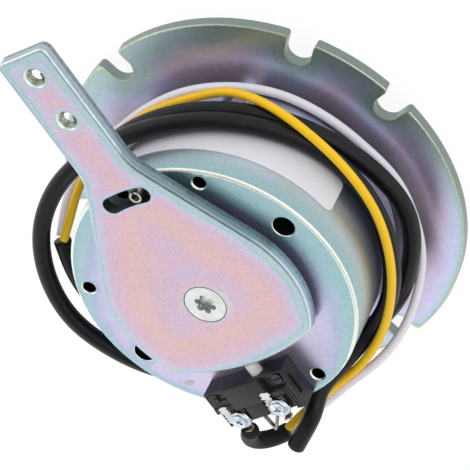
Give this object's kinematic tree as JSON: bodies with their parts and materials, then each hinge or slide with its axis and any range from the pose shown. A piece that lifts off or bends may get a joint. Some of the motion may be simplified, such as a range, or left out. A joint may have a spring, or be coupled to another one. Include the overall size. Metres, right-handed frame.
{
  "type": "motor brake",
  "caption": "Spring-applied motor brake with mounting plate, friction rotor, magnet body, hand release lever, limit switch and leads.",
  "frame": {"origin": "on the shaft axis, at the back face of the mounting plate, which is the motor end of the hub's shaft bore", "axes": "+Z along the shaft away from the motor; +X and +Y across the plate, with a bolt slot on +X, on +Y and on -Y"},
  "size_m": [0.1614, 0.1989, 0.0732],
  "materials": {
    "plate_zinc": "yellow passivated zinc plate, satin",
    "steel_dark": "oiled steel",
    "friction": "moulded friction lining",
    "hub_steel": "machined steel",
    "armature_zinc": "zinc plated",
    "body_zinc": "blue passivated zinc, satin",
    "bobbin": "moulded",
    "copper": "enamelled wire, potted",
    "spring_steel": "spring steel",
    "fastener": "zinc plated",
    "lever_zinc": "iridescent passivated zinc",
    "ball": "polished",
    "paper": "plain printed film, bare",
    "black_plastic": "moulded, fine grain",
    "white_plastic": "moulded",
    "tin": "tinned brass",
    "black_sheath": "extruded lead sheath",
    "yellow_sheath": "extruded wire cover",
    "white_sheath": "extruded wire cover"
  },
  "bodies": {
    "housing": {"mounting_plate": "plate_zinc", "magnet_body": "body_zinc", "coil_bobbin": "bobbin", "coil_winding": "copper", "brake_springs": "spring_steel", "spacer_posts": "fastener", "post_screws": "fastener", "ramp_balls": "ball", "stop_pin": "spring_steel", "label": "paper", "switch_base": "black_plastic", "switch_cover": "black_plastic", "switch_fixings": "steel_dark", "terminal_plates": "tin", "terminal_clamps": "tin", "terminal_screws": "fastener", "coil_lead": "black_sheath", "switch_lead": "black_sheath", "yellow_wire": "yellow_sheath", "white_wire": "white_sheath", "wire_sleeve": "black_sheath"},
    "rotor": {"rotor_carrier": "steel_dark", "lining_rear": "friction", "lining_front": "friction", "shaft_hub": "hub_steel"},
    "armature": {"armature_plate": "armature_zinc"},
    "lever": {"release_lever": "lever_zinc", "release_spindle": "steel_dark", "drive_pins": "steel_dark", "star_screw": "fastener"},
    "plunger": {"switch_plunger": "white_plastic"}
  },
  "joints": [
    {"name": "rotor_spin", "type": "hinge", "parent": "housing", "child": "rotor", "pos_m": [0, 0, 0], "axis": [0, 0, 1], "continuous": true},
    {"name": "armature_slide", "type": "slide", "parent": "housing", "child": "armature", "axis": [0, 0, 1], "range_m": [0, 0.0005], "stiffness_N_per_m": 5000, "springref_m": -0.004, "deforming": ["brake_springs"]},
    {"name": "lever_turn", "type": "hinge", "parent": "armature", "child": "lever", "pos_m": [0, 0, 0.0667], "axis": [0, 0, -1], "range_deg": [0, 12.5]},
    {"name": "plunger_slide", "type": "slide", "parent": "housing", "child": "plunger", "axis": [-0.2215, -0.9751, 0], "range_m": [0, 0.00045]}
  ],
  "couplings": [
    {"joint": "lever_turn", "follows": "armature_slide", "rad_per_m": 436.29},
    {"joint": "plunger_slide", "follows": "armature_slide", "ratio": 0.89991}
  ]
}
